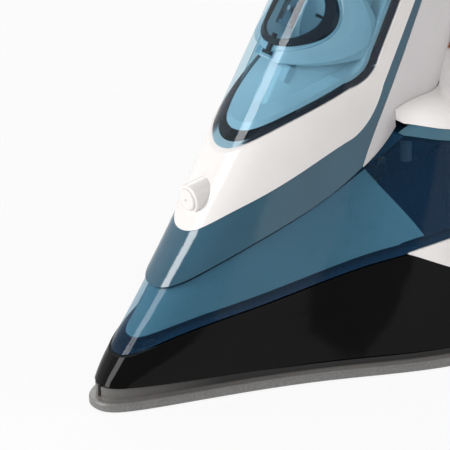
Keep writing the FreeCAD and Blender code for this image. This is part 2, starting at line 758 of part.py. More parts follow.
def heel_slab(start, wall, z0=0.0, z1=120.0):
    """Leaning slab behind the body; start and wall are measured along x."""
    base = heel_back - heel_wall + start
    return prism(*closed([(base + heel_lean * z0, z0), (base + wall + heel_lean * z0, z0),
                          (base + wall + heel_lean * z1, z1), (base + heel_lean * z1, z1),
                          (base + heel_lean * z0, z0)]))


def heel_pad_places():
    return [(y, z) for z, y in ((heel_pad_rows[0], 26), (heel_pad_rows[0], -26),
                                (heel_pad_rows[1], 15), (heel_pad_rows[1], -15))]


def heel_plate():
    plate = heel_slab(0, heel_wall).common(heel_outline())
    for y, z in heel_pad_places():
        plate = plate.cut(rod(heel_plug_radius, (heel_back - 60, y, z), (heel_back + 60, y, z)))
    return plate.cut(heel_screw_blanks(seat))


def heel_feet():
    """Rubber pads plugged into the heel plate."""
    pads = []
    for y, z in heel_pad_places():
        axis = rod(heel_pad_radius, (0, y, z), (FAR, y, z)).common(heel_slab(heel_wall, heel_pad))
        plug = rod(heel_plug_radius, (0, y, z), (FAR, y, z)).common(heel_slab(0.2, heel_wall))
        pads.append(axis.fuse(plug))
    return Part.makeCompound(pads)


def on_heel(shape, y):
    """Turn an upright screw so that its head is sunk in the heel plate."""
    placed = shape.copy()
    placed.rotate(Vector(0, 0, 0), Vector(0, 1, 0), 90 + math.degrees(math.atan(heel_lean)))
    placed.translate(Vector(heel_back + heel_lean * heel_screw_z - 0.6, y, heel_screw_z))
    return placed


def heel_screw_blanks(gap):
    blank = screw_blank(0, 0, 0, 6, screw_head_radius + gap, screw_radius + gap)
    pocket = blank.fuse(upright(screw_head_radius + gap, 0, 0, -1, 6))
    return Part.makeCompound([on_heel(pocket, y) for y in (-heel_screw_y, heel_screw_y)])


def heel_screws():
    screw = slotted_screw(0, 0, 0, 6, screw_head_radius, screw_radius)
    return Part.makeCompound([on_heel(screw, y) for y in (-heel_screw_y, heel_screw_y)])


# ---------------------------------------------------------------- front covers
def mid_cover():
    return skin(handle_hull, mid_inset, cover_wall, mid_region())


def nozzle_axis(distance):
    """Point on the nozzle axis, measured from the boss face into the iron."""
    tilt = math.radians(nozzle_tilt)
    return (nozzle_x + distance * math.cos(tilt), 0, nozzle_z + distance * math.sin(tilt))


def front_cover():
    cover = skin(handle_hull, 0, cover_wall, white_region().cut(lid_region()))
    boss = rod(nozzle_boss_radius, nozzle_axis(0), nozzle_axis(20))
    boss = boss.makeFillet(0.7, [min(boss.Edges, key=lambda e: e.CenterOfMass.x)])
    cover = cover.fuse(boss)
    return cover.cut(rod(nozzle_radius, nozzle_axis(-2), nozzle_axis(12))).cut(
        rod(2.2, nozzle_axis(10), nozzle_axis(24)))


def spray_nozzle():
    head = rod(nozzle_radius - 0.05, nozzle_axis(-0.9), nozzle_axis(11.5))
    head = head.makeFillet(0.8, [min(head.Edges, key=lambda e: e.CenterOfMass.x)])
    barb = rod(2.1, nozzle_axis(11), nozzle_axis(nozzle_barb_end))
    return head.fuse(barb).cut(rod(0.4, nozzle_axis(-2), nozzle_axis(30)))


def on_flap(shape):
    """Move a shape from the flap's own frame (x up the slope, z outwards) to the iron."""
    placed = shape.copy()
    placed.rotate(Vector(0, 0, 0), Vector(0, 1, 0), -flap_tilt)
    placed.translate(Vector(nose_line(flap_z) + lid_inset, 0, flap_z))
    return placed


def flap_hinge_bar(radius, half_length):
    axis = (flap_hinge_reach, -flap_hinge_depth)
    return on_flap(rod(radius, (axis[0], -half_length, axis[1]), (axis[0], half_length, axis[1])))


def lid_skin():
    return skin(handle_hull, lid_inset, lid_wall, lid_region(-seam))


def flap_outline(margin):
    """Round outline with a lifting tongue and a slight draft, grown by a margin."""
    depth = 24
    start = Vector(0, 0, -depth)
    disc = Part.makeCone(flap_radius + margin - flap_draft * depth, flap_radius + margin, depth, start)
    disc = disc.fuse(upright(flap_radius + margin, 0, 0, 0, 12))
    tongue = box(-tongue_reach - margin, -gasket_radius, -tongue_half_width - margin,
                 tongue_half_width + margin, -8, 12)
    return on_flap(disc.fuse(tongue))


def lid_window(clear_skin):
    """Clear front cover with an opening for the filler flap and two hinge eyes."""
    hole = on_flap(upright(flap_radius + seam, 0, 0, -24, 12))
    swing_hole = on_flap(upright(flap_radius + seam, flap_swing_gap, 0, -24, 12))
    window = clear_skin.cut([hole, swing_hole, flap_outline(seam)])
    notch_end = flap_hinge_reach + flap_hinge_depth + 0.8
    notch = on_flap(box(flap_radius - 4, notch_end, -flap_ear - seam, flap_ear + seam, -8, 12))
    window = window.cut(notch)
    eyes = flap_hinge_bar(hinge_eye, flap_ear + 4).cut(flap_hinge_bar(hinge_eye + 1, flap_ear + seam))
    eyes = eyes.common(handle_hull(lid_inset)).cut(hole)
    return window.fuse(eyes).cut(flap_hinge_bar(hinge_pin_radius, flap_ear + 5))


def gasket_layer(shape, clearance):
    """Part of a shape in the layer that follows the surface at the gasket's depth."""
    top = lid_inset + gasket_depth - clearance
    return on_flap(shape).common(pillar_hull(top)).cut(pillar_hull(lid_inset + gasket_depth + gasket_height))


def filler_flap(clear_skin):
    """Clear flap with a grooved underside and a knuckle at its upper edge."""
    disc = clear_skin.common(flap_outline(0))
    outside = handle_hull(lid_inset)
    neck = on_flap(box(flap_radius - 4, flap_hinge_reach + 1.2, -flap_ear, flap_ear,
                       -flap_neck_depth, 12)).common(outside)
    knuckle = flap_hinge_bar(hinge_eye, flap_ear)
    disc = disc.fuse([neck, knuckle]).cut(gasket_layer(gasket_blank(seat), 0.05))
    return disc.cut(flap_hinge_bar(hinge_pin_radius + 0.08, flap_ear + 5))


def flap_hinge_pin():
    return flap_hinge_bar(hinge_pin_radius, flap_ear + 3.5)


def gasket_blank(gap):
    """Upright blank of the gasket in the flap's frame: ring, pull tab and two small ribs."""
    outer, inner = gasket_radius + gasket_width / 2 + gap, gasket_radius - gasket_width / 2 - gap
    ring = tube(outer, inner, 0, 0, -24, 5)
    stem = box(-tongue_reach + 1.6, -gasket_radius + 2.6 + gap, -0.6 - gap, 0.6 + gap, -24, 5)
    bar = box(-tongue_reach + 0.9 - gap, -tongue_reach + 2.1 + gap, -1.9 - gap, 1.9 + gap, -24, 5)
    rib = box(-0.5 - gap, 0.5 + gap, inner - 1.7, inner + 0.3, -24, 5)
    return ring.fuse([stem, bar, rib, mirrored(rib)])


def flap_gasket():
    """Rubber gasket in the underside of the flap. It follows the rounded nose."""
    return gasket_layer(gasket_blank(0), 0)


def flap_catch():
    """Spring plate under the flap with two long slots."""
    top = -catch_depth
    plate = box(-catch_reach, catch_reach, -catch_half_width, catch_half_width, top - catch_thickness, top)
    slots = [box(1.6 - catch_reach, catch_reach - 1.6, y - 0.3, y + 0.3, -10, 0)
             for y in (1.1 - catch_half_width, catch_half_width - 1.1)]
    post = upright(1.9, -1.5, 0, top - catch_thickness, -lid_wall + 0.2)
    return on_flap(plate.cut(slots).fuse(post).cut(upright(rivet_radius, -1.5, 0, -20, 0)))


def catch_rivet():
    under = -catch_depth - catch_thickness
    head = upright(1.5, -1.5, 0, under - 0.6, under)
    return on_flap(head.fuse(upright(rivet_radius, -1.5, 0, under - 0.3, -lid_wall + 0.1)))


# ---------------------------------------------------------------- filler and tray
def duct_x():
    """The duct stands under the middle of the cup floor."""
    return nose_line(flap_z) + lid_inset + cup_bottom * math.sin(math.radians(flap_tilt))


def filler_neck():
    """Slanted cup with a bearing collar under the flap and an upright duct to the tank."""
    cup = on_flap(upright(filler_radius, 0, 0, -cup_bottom, 5))
    hollow = on_flap(upright(filler_bore, 0, 0, -cup_bottom + duct_wall, 6))
    above = on_flap(box(-40, 40, -40, 40, -cup_bottom + 0.5, 40))
    duct = upright(duct_radius, duct_x(), 0, 60, 125).cut(above)
    bore = upright(duct_radius - duct_wall, duct_x(), 0, 55, 125)
    bore = bore.cut(on_flap(box(-40, 40, -40, 40, -cup_bottom + duct_wall + 1, 40)))
    collar_inset = lid_inset + lid_wall + running_gap
    collar = on_flap(upright(collar_radius, 0, 0, -24, 5).cut(box(gasket_radius, 40, -40, 40, -30, 20)))
    collar = collar.common(pillar_hull(collar_inset)).cut(pillar_hull(collar_inset + collar_wall))
    neck = cup.common(pillar_hull(collar_inset)).fuse([collar, duct]).cut([hollow, bore])
    return neck.cut([tank_block(), flap_hinge_bar(hinge_eye + 0.6, 12)])


def filler_tray():
    """Light floor and rim under the clear lid."""
    floor = pillar_hull(tray_depth).cut(pillar_hull(tray_depth + tray_wall)).common(lid_region(-0.8))
    rim = pillar_hull(lid_inset + lid_wall + seam).cut(pillar_hull(tray_depth + tray_wall))
    rim = rim.common(lid_region(-0.8)).cut(lid_region(-0.8 - tray_wall))
    rim = rim.cut(box(0, FAR, -90, 90, LID_TOP - 6, 200))
    tray = floor.fuse(rim).common(box(0, LID_REAR[-1][0], -90, 90, 0, LID_TOP - 2))
    cup = on_flap(upright(filler_radius + seat, 0, 0, -40, 5))
    below_collar = pillar_hull(lid_inset + lid_wall + running_gap + collar_wall + seat)
    collar = on_flap(upright(collar_radius + seat, 0, 0, -24, 5)).cut(below_collar)
    tray = tray.cut([cup, collar, flap_hinge_bar(hinge_eye + 0.6, 12)])
    return max(tray.Solids, key=lambda solid: solid.Volume)


# ---------------------------------------------------------------- pumps, buttons and slider
def capsule(x, y, length, width, z0, z1):
    """Upright block with round ends along x."""
    radius = width / 2
    reach = length / 2 - radius
    block = box(x - reach, x + reach, y - radius, y + radius, z0, z1)
    return block.fuse([upright(radius, x - reach, y, z0, z1), upright(radius, x + reach, y, z0, z1)])


def pump_body(y):
    """Cylinder hung from the bracket, with two hose barbs underneath."""
    body = upright(pump_radius, pump_x, y, pump_bottom, pump_top)
    body = body.fuse(upright(pump_radius + 1.2, pump_x, y, pump_seat, pump_top))
    body = body.cut(upright(pump_radius - pump_wall, pump_x, y, pump_bottom + 1.5, pump_top + 1))
    for side in (-hose_spread, hose_spread):
        barb = upright(barb_radius, pump_x + side, y, pump_bottom - barb_length, pump_bottom + 0.5)
        body = body.fuse(barb).cut(upright(barb_radius / 2, pump_x + side, y, pump_bottom - barb_length - 1,
                                           pump_bottom + 3))
    return body


def pump_bracket():
    plate = box(122.5, 156, -40, 40, pump_seat - 1.6, pump_seat)
    plate = plate.common(handle_hull(handle_wall + 0.1))
    holes = [upright(pump_radius + 0.02, pump_x, y, 100, 150) for y in (-pump_y, pump_y)]
    return plate.cut(holes)


def plunger(y):
    """Piston and rod under a button."""
    piston = upright(pump_radius - pump_wall - 0.08, pump_x, y, pump_bottom + 6, pump_bottom + 9)
    return piston.fuse(upright(plunger_radius, pump_x, y, pump_bottom + 8, button_under))


def pump_spring(y):
    """Coil between the pump and the button."""
    radius = plunger_radius + spring_wire + 0.35
    pitch = (spring_closed + button_stroke - 2 * spring_wire) / 5
    helix = Part.makeHelix(pitch, pitch * 5, radius)
    ring = Part.Wire([Part.Circle(Vector(radius, 0, 0), Vector(0, 1, 0), spring_wire).toShape()])
    coil = Part.Wire(helix.Edges).makePipeShell([ring], True, True)
    coil.translate(Vector(pump_x, y, pump_top + spring_wire))
    return coil


def button(y):
    """Thumb button whose crown follows the handle."""
    body = capsule(pump_x, y, button_length, button_width, button_under, 170)
    body = body.common(bar_hull(-button_proud))
    hollow = capsule(pump_x, y, button_length - 3, button_width - 3, button_under - 1, button_under + 2.5)
    body = body.cut(hollow)
    stop = box(pump_x - button_length / 2 - 1.2, pump_x + button_length / 2 + 1.2, y - 3, y + 3,
               button_under, button_under + 1.2)
    socket = upright(plunger_radius + 1.2, pump_x, y, button_under, button_under + 3)
    return body.fuse([stop, socket])


def control_panel():
    """White cap of the handle front, pierced for the buttons and the slider."""
    panel = skin(handle_hull, 0, handle_wall, top_region(60, grip_start))
    for y in (-pump_y, pump_y):
        panel = panel.cut(capsule(pump_x, y, button_length + 2 * running_gap, button_width + 2 * running_gap,
                                  button_under - 2, 180))
    slot = slider_travel + stem_half_width + running_gap
    reach = stem_half_length + running_gap
    return panel.cut(box(slider_x - reach, slider_x + reach, -slot, slot, cam_bottom + 1.5, 180))


def steam_slider():
    """Sliding knob with grip ribs, its stem and the cam plate under the panel."""
    knob = box(slider_x - 5, slider_x + 5, -7, 7, 145, 170)
    upper = bar_hull(-slider_proud).cut(bar_hull(-running_gap))
    knob = knob.common(upper).common(box(0, FAR, -30, 30, 148, 170))
    for i in range(-2, 3):
        knob = knob.cut(box(slider_x - 6, slider_x + 6, 2.4 * i - 0.4, 2.4 * i + 0.4, slider_crown(), 170))
    stem = box(slider_x - stem_half_length, slider_x + stem_half_length, -stem_half_width, stem_half_width,
               cam_bottom, slider_crown() - 0.4)
    cam = box(slider_x - 4.5, slider_x + 5, -11, 11, cam_bottom, cam_bottom + cam_thickness)
    return knob.fuse([stem, cam])


def slider_crown():
    """Height of the bottom of the ribs on the slider knob."""
    column = bar_hull(-slider_proud).common(box(slider_x - 0.5, slider_x + 0.5, -0.5, 0.5, 100, 200))
    return column.BoundBox.ZMax - 0.9


def valve_rod():
    """Needle rod from the cam plate to the drip valve."""
    tip = valve_top - 4.5
    needle = Part.makeCone(0.4, valve_rod_radius, 4, Vector(valve_x, 0, tip + 1.2))
    rod_body = upright(valve_rod_radius, valve_x, 0, tip + 5.2, cam_bottom - valve_lift - 0.3)
    head = upright(3.0, valve_x, 0, cam_bottom - valve_lift - 1.8, cam_bottom - valve_lift - 0.3)
    return needle.fuse([rod_body, head])


def hose_start(side, y):
    """Just under a barb of a pump, and a point straight below it."""
    x = pump_x + side * hose_spread
    top = pump_bottom - barb_length - seat
    return [(x, y, top), (x, y, top - 7)]


def spray_hose():
    """From the near pump, down beside the tank roof and forward to the nozzle."""
    (x, y, z), below = hose_start(1, -pump_y)
    points = [(x, y, z), below, (128, -17, 94), (108, -18, 82), (84, -12, 75.5), nozzle_axis(34),
              nozzle_axis(nozzle_barb_end + seat)]
    return bent_rod(hose_radius, points, hose_bend)


def steam_hose():
    start, below = hose_start(1, pump_y)
    points = [start, below, (*hose_foot, 96), (*hose_foot, chamber_top + 0.2)]
    return bent_rod(hose_radius, points, hose_bend)


def suction_hose():
    start, below = hose_start(-1, -pump_y)
    points = [start, below, (*suction_foot, 98), (*suction_foot, suction_end)]
    return bent_rod(hose_radius, points, hose_bend)


# ---------------------------------------------------------------- handle
def handle_half(side):
    """One half of the white handle shell with its screw bosses; side is -1 or +1."""
    wall = skin(handle_hull, 0, handle_wall, handle_region())
    wall = wall.fuse(screw_bosses())
    half = wall.common(box(0, FAR, *sorted((side * seat, side * 90)), 0, 200))
    half = half.cut([polygon_prism(UNDER_GRIP), swivel_space(), heel_slab(-seam, 60)])
    for x, z in handle_screw_places:
        head_seat = handle_screw_head - screw_head_height
        half = half.cut(rod(screw_radius + 0.1, (x, head_seat - handle_screw_length, z), (x, 30, z)))
        half = half.cut(rod(screw_head_radius + 0.2, (x, head_seat, z), (x, 60, z)))
    return max(half.Solids, key=lambda solid: solid.Volume)


def screw_bosses():
    inside = handle_hull(handle_wall - 0.2)
    posts = [rod(handle_boss_radius, (x, -60, z), (x, 60, z)) for x, z in handle_screw_places]
    return Part.makeCompound(posts).common(inside)


def handle_screws():
    pieces = []
    for x, z in handle_screw_places:
        screw = slotted_screw(0, 0, 0, handle_screw_length, screw_head_radius, screw_radius)
        screw.rotate(Vector(0, 0, 0), Vector(1, 0, 0), -90)
        screw.translate(Vector(x, handle_screw_head, z))
        pieces.append(screw)
    return Part.makeCompound(pieces)


def under_grip():
    """Soft inlay along the underside of the bar."""
    inlay = skin(handle_hull, 0, handle_wall, polygon_prism(UNDER_GRIP))
    return inlay.common(box(UNDER_GRIP[0][0] + seam, UNDER_GRIP[1][0] - seam, -90, 90, 100, 140))


def grip_cover():
    """Soft petrol cover along the top of the bar."""
    cover = skin(handle_hull, 0, handle_wall, top_region(grip_start + seam, grip_end))
    return cover.cut(swivel_space())


# ---------------------------------------------------------------- cord swivel
def swivel_point(distance):
    tilt = math.radians(swivel_tilt)
    return (swivel_x + distance * math.cos(tilt), 0, swivel_z + distance * math.sin(tilt))


def swivel_space():
    """Clear space in the handle for the cord socket and the tilting bush."""
    start, end = Vector(*swivel_point(-8)), Vector(*swivel_point(30))
    well = Part.makeCylinder(swivel_radius + socket_wall + seat, (end - start).Length, start, end - start)
    return well


def cord_socket():
    """Fixed sleeve that the swivel ring turns in."""
    sleeve = rod(swivel_radius + socket_wall, swivel_point(-9.5), swivel_point(5.5))
    bore = rod(swivel_radius + 0.06, swivel_point(-8.0), swivel_point(30))
    return sleeve.cut([bore, rod(5.0, swivel_point(-20), swivel_point(0))])


def trunnions(radius, reach):
    """Cross pin of the cord ball."""
    x, _, z = swivel_point(0)
    return rod(radius, (x, -reach, z), (x, reach, z))


def swivel_ring():
    """Turning cup that holds the cord ball."""
    cup = rod(swivel_radius, swivel_point(-7.9), swivel_point(5.0))
    ball_room = Part.makeSphere(ball_radius + 0.3, Vector(*swivel_point(0)))
    start = Vector(*swivel_point(0))
    flare = Part.makeCone(5.5, 9.0, 6, start, Vector(*swivel_point(1)) - start)
    pin_holes = trunnions(trunnion_radius + 0.05, FAR)
    return cup.cut([ball_room, flare, pin_holes, rod(cord_radius + 1, swivel_point(-20), swivel_point(0))])


def cord_bush():
    """Ball and tapering bush with the cord bore."""
    start = Vector(*swivel_point(0))
    way = Vector(*swivel_point(1)) - start
    ball = Part.makeSphere(ball_radius, start)
    sleeve = Part.makeCone(5.2, cord_radius + 1.0, bush_length, start, way)
    bore = rod(cord_radius, swivel_point(-20), swivel_point(bush_length + 5))
    return ball.fuse([sleeve, trunnions(trunnion_radius, trunnion_reach)]).cut(bore)


# ---------------------------------------------------------------- electrics
def terminal_block():
    block = box(block_x, block_x + block_length, -block_width / 2, block_width / 2, floor_top,
                floor_top + block_height)
    for y in (-block_pitch, 0, block_pitch):
        block = block.cut(upright(terminal_radius + 0.1, block_x + block_length / 2, y, floor_top + 4, 60))
    return block


def terminal_screws():
    z = floor_top + block_height - 0.8
    return Part.makeCompound([slotted_screw(block_x + block_length / 2, y, z, 4.4, terminal_radius, 1.1)
                              for y in (-block_pitch, 0, block_pitch)])


def internal_wires():
    """Insulated leads: three up to the cord, two to the element, one to the thermostat."""
    top = floor_top + block_height + cord_wire_radius / 4
    x, side_x = block_x + block_length - 3.5, block_x + block_length / 2
    above = swivel_point(-10.5 - cord_wire_radius)
    wires = []
    for y in (-block_pitch, 0, block_pitch):
        route = [(x, y, top), (x, y, 44), (246, y * 0.8, 74), (above[0], y * 0.35, above[2] - 8),
                 (above[0], y * 0.35, above[2])]
        wires.append(bent_rod(cord_wire_radius, route, 6.0))
    for side in (-1, 1):
        route = [(side_x, side * (block_width / 2 + seat), 21), (side_x, side * 19, 22),
                 (element_rear + 3, side * (element_spread - 1.8), 26)]
        wires.append(bent_rod(lead_radius, route, 3.0))
    wires.append(rod(lead_radius, (block_x - 2 * seat, 2, 20), (dial_x + 15.6, 2, 19)))
    return Part.makeCompound(wires)


def indicator_block(margin, z0, z1):
    return capsule(indicator_x, 0, indicator_length + 2 * margin, indicator_width + 2 * margin, z0, z1)


def indicator_lens():
    return indicator_block(-0.05, saddle_crown - saddle_wall - 1, saddle_crown + 0.6)


def indicator_lamp():
    """Neon lamp under the lens, standing on the tank roof."""
    z = strip_foot - seam
    return upright(2.0, indicator_x, 0, z + 1.2, saddle_crown - saddle_wall - 1.2).fuse(
        upright(3.4, indicator_x, 0, z, z + 1.4))


def pumps_and_buttons():
    """Mirrored pump sets: spray on the near side, steam on the far side."""
    parts = {}
    for name, y in (("spray", -pump_y), ("steam", pump_y)):
        parts[name + "_pump"] = pump_body(y)
        parts[name + "_plunger"] = plunger(y)
        parts[name + "_spring"] = pump_spring(y)
        parts[name + "_button"] = button(y)
    return parts


def build():
    """All sub-parts by node name."""
    clear_skin = lid_skin()
    parts = {function.__name__: function() for function in (
        soleplate, heating_element, element_terminals, steam_chamber_cover, drip_valve_seat, sole_screws,
        thermostat_body, thermostat_bimetal, thermal_fuse, dial_shaft, temperature_dial, skirt,
        water_tank, tank_insert, tank_trim, saddle, rear_shell, heel_plate, heel_feet, heel_screws,
        mid_cover, front_cover, spray_nozzle, flap_hinge_pin, flap_gasket, flap_catch, catch_rivet,
        filler_neck, filler_tray, pump_bracket, control_panel, steam_slider, valve_rod, spray_hose,
        steam_hose, suction_hose, handle_screws, under_grip, grip_cover, cord_socket, swivel_ring,
        cord_bush, terminal_block, terminal_screws, internal_wires, indicator_lens, indicator_lamp)}
    parts["lid_window"] = lid_window(clear_skin)
    parts["filler_flap"] = filler_flap(clear_skin)
    parts["handle_left"] = handle_half(-1)
    parts["handle_right"] = handle_half(1)
    parts.update(pumps_and_buttons())
    return parts


for part_name, part_shape in build().items():
    save(part_name, part_shape)
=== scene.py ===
"""Looks of the steam iron: camera, studio, and one section for each piece as the iron is put together."""
import math
import bmesh
import bpy
from mathutils import Matrix, Vector


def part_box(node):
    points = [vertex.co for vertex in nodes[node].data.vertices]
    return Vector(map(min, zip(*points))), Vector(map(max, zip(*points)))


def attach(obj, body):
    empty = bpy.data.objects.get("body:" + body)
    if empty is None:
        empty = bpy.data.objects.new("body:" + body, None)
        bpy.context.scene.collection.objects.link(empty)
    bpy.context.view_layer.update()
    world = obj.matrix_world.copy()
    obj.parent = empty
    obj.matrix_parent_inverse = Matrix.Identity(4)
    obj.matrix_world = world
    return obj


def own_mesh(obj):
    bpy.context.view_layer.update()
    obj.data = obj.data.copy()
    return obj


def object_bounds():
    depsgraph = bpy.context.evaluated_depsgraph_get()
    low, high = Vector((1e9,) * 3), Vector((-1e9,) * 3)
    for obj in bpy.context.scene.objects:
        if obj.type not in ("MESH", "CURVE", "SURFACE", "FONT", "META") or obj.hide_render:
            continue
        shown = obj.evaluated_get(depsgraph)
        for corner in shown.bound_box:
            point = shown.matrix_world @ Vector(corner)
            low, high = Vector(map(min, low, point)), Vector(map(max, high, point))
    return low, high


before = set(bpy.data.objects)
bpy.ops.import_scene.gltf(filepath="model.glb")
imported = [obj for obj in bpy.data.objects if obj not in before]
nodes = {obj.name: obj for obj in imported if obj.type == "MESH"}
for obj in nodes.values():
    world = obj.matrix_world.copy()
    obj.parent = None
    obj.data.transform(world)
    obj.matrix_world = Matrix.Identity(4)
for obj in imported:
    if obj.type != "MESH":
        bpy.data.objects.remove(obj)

cad_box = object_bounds()

# ---------------------------------------------------------------- camera
# A long lens 1.2 m away, looking down on the nose from the front left. It is rolled slightly to one side,
# and aimed above and behind the tip of the nose, so that the view cuts off the handle and the heel.
azimuth, elevation, roll = math.radians(38), math.radians(25), math.radians(1.5)
distance = 1.2
aside, above = 0.04203, 0.05939     # from the tip of the nose to the middle of the view
toward_camera = Vector((-math.sin(azimuth) * math.cos(elevation),
                        -math.cos(azimuth) * math.cos(elevation), math.sin(elevation)))
level_right = Vector((math.cos(azimuth), -math.sin(azimuth), 0))
level_up = toward_camera.cross(level_right)
camera_right = level_right * math.cos(roll) - level_up * math.sin(roll)
camera_up = level_right * math.sin(roll) + level_up * math.cos(roll)
nose_tip = Vector((cad_box[0][0], 0, 0))
aim = nose_tip + camera_right * aside + camera_up * above
lens = bpy.data.cameras.new("studio_camera")
lens.sensor_width = 36
lens.lens = 297.6
camera = bpy.data.objects.new("studio_camera", lens)
bpy.context.collection.objects.link(camera)
turn = Matrix((camera_right, camera_up, toward_camera)).transposed().to_4x4()
camera.matrix_world = Matrix.Translation(aim + toward_camera * distance) @ turn
bpy.context.scene.camera = camera
bpy.context.scene.view_settings.view_transform = "Standard"


# ---------------------------------------------------------------- studio floor and light
# White paper sweep under the iron, seen as nearly pure white with a faint shadow, in a white room that is
# dim on the side of the camera. A strip on the left draws the bright band along the ridge of the nose; the
# other soft boxes only fill.
def linear(colour):
    """Linear RGBA of an sRGB hex colour."""
    parts = [int(colour[i:i + 2], 16) / 255 for i in (1, 3, 5)]
    return (*[c / 12.92 if c <= 0.04045 else ((c + 0.055) / 1.055) ** 2.4 for c in parts], 1)


def add_node(tree, kind, values=None, **links):
    """New shader node; values sets its properties and sockets, links joins its sockets.

    A socket goes by its name or its number, which in links has a line before it: _6 and _7 are the two
    colours of a Mix node.
    """
    node = tree.nodes.new(kind)
    for key, value in (values or {}).items():
        if isinstance(key, str) and hasattr(node, key):
            setattr(node, key, value)
        else:
            node.inputs[key].default_value = value
    for key, source in links.items():
        tree.links.new(source, node.inputs[int(key[1:]) if key[0] == "_" else key])
    return node


def new_material(name):
    """Empty material; returns it with its node tree."""
    made = bpy.data.materials.new(name)
    made.use_nodes = True
    made.node_tree.nodes.clear()
    return made, made.node_tree


glow_share = 0.85                   # of the paper's white; the rest takes the lamps' light and the shadow
paper, tree = new_material("matt_white_paper")
path = add_node(tree, "ShaderNodeLightPath")
seen = add_node(tree, "ShaderNodeMath", {"operation": "MAXIMUM"},
                _0=path.outputs["Is Camera Ray"], _1=path.outputs["Is Glossy Ray"])
seen = add_node(tree, "ShaderNodeMath", {"operation": "MAXIMUM"},
                _0=seen.outputs[0], _1=path.outputs["Is Transmission Ray"])
share = add_node(tree, "ShaderNodeMath", {"operation": "MULTIPLY", 1: glow_share}, _0=seen.outputs[0])
matt = add_node(tree, "ShaderNodeBsdfDiffuse", {"Color": linear("#f4f4f4")})
white = add_node(tree, "ShaderNodeEmission", {"Color": (1, 1, 1, 1), "Strength": 1.0})
surface = add_node(tree, "ShaderNodeMixShader",
                   Fac=share.outputs[0], _1=matt.outputs[0], _2=white.outputs[0])
add_node(tree, "ShaderNodeOutputMaterial", Surface=surface.outputs[0])

sweep_half_width, under_sole = 3.0, 0.0002
sheet = bmesh.new()
bmesh.ops.create_grid(sheet, x_segments=1, y_segments=1, size=sweep_half_width)
bmesh.ops.translate(sheet, verts=sheet.verts, vec=(0, 0, -under_sole))
mesh = bpy.data.meshes.new("paper_sweep")
sheet.to_mesh(mesh)
sheet.free()
floor = bpy.data.objects.new("paper_sweep", mesh)
bpy.context.collection.objects.link(floor)
mesh.materials.append(paper)

world = bpy.data.worlds.new("studio")
bpy.context.scene.world = world
world.use_nodes = True
tree = world.node_tree
tree.nodes.clear()
path = add_node(tree, "ShaderNodeLightPath")
# Gloss shows the white room behind the iron, and the dim end of the room in front of it to the left.
dim_end, dim_level = (-0.62, -0.78, 0), 0.12
bearing = add_node(tree, "ShaderNodeVectorMath", {"operation": "DOT_PRODUCT", 1: dim_end},
                   _0=add_node(tree, "ShaderNodeTexCoord").outputs["Generated"])
room = add_node(tree, "ShaderNodeMapRange",
                {"From Min": -0.2, "From Max": 0.5, "To Min": 1.0, "To Max": dim_level},
                Value=bearing.outputs["Value"])
reflected = add_node(tree, "ShaderNodeMath", {"operation": "MULTIPLY"},
                     _0=path.outputs["Is Glossy Ray"], _1=room.outputs[0])
seen = add_node(tree, "ShaderNodeMath", {"operation": "MAXIMUM"},
                _0=path.outputs["Is Camera Ray"], _1=reflected.outputs[0])
seen = add_node(tree, "ShaderNodeMath", {"operation": "MAXIMUM"},
                _0=seen.outputs[0], _1=path.outputs["Is Transmission Ray"])
dim = add_node(tree, "ShaderNodeBackground", {"Color": (1, 1, 1, 1), "Strength": 0.30})
bright = add_node(tree, "ShaderNodeBackground", {"Color": (1, 1, 1, 1), "Strength": 1.0})
sky = add_node(tree, "ShaderNodeMixShader", Fac=seen.outputs[0], _1=dim.outputs[0], _2=bright.outputs[0])
add_node(tree, "ShaderNodeOutputWorld", Surface=sky.outputs[0])


def softbox(name, place, size, power, mirrored=True):
    """Rectangular area lamp facing the middle of the iron; mirrored says whether gloss shows it."""
    lamp = bpy.data.lights.new(name, "AREA")
    lamp.shape = "RECTANGLE"
    lamp.size, lamp.size_y = size
    lamp.energy = power
    lamp.color = (1, 1, 1)
    placed = bpy.data.objects.new(name, lamp)
    placed.visible_glossy = mirrored
    bpy.context.collection.objects.link(placed)
    middle = Vector((0, 0, 0.07))
    facing = (middle - Vector(place)).to_track_quat("-Z", "Y")
    placed.matrix_world = Matrix.Translation(place) @ facing.to_matrix().to_4x4()


softbox("key_softbox", place=(-0.9, -1.0, 1.1), size=(0.7, 0.7), power=7.5, mirrored=False)
softbox("left_strip", place=(-1.25, 0.3, 0.55), size=(0.5, 0.9), power=13)
softbox("right_fill", place=(1.2, -1.1, 0.8), size=(0.9, 0.9), power=8)
softbox("back_fill", place=(0.6, 1.4, 1.0), size=(0.9, 0.9), power=6.5)


# ---------------------------------------------------------------- soleplate
# Die-cast aluminium plate with a sprayed and fired grey enamel, held from above by four screws. The grains
# of the enamel show as fine light and dark specks. The top of the rim is painted lighter as painted light,
# and most of the upstand is painted dark as painted shade under the skirt.
def coat(finish, *names):
    """The material on every slot of these CAD nodes."""
    for name in names:
        slots = nodes[name].data.materials
        slots.clear()
        slots.append(finish)


# Grit of the sprayed enamel is about 0.1 mm; it is drawn at 0.35 mm so that it shows.
grit_mm, cloud_mm = 0.35, 6
rim_top, rim_blend = 0.0027, 0.0006             # heights above the floor
upstand_foot, upstand_blend = 0.0034, 0.0008
shade_faintest_at, shade_deepest_from = -0.138, -0.100          # along the iron
enamel, tree = new_material("speckled_grey_enamel")
at = add_node(tree, "ShaderNodeTexCoord").outputs["Object"]
grit = add_node(tree, "ShaderNodeTexNoise", {"Scale": 1000 / grit_mm, "Detail": 3}, Vector=at)
specks = add_node(tree, "ShaderNodeMapRange", {"From Min": 0.34, "From Max": 0.68}, Value=grit.outputs[0])
colour = add_node(tree, "ShaderNodeMix",
                  {"data_type": "RGBA", 6: linear("#6a6a69"), 7: linear("#8a8988")}, _0=specks.outputs[0])
clouds = add_node(tree, "ShaderNodeTexNoise", {"Scale": 1000 / cloud_mm, "Detail": 2}, Vector=at)
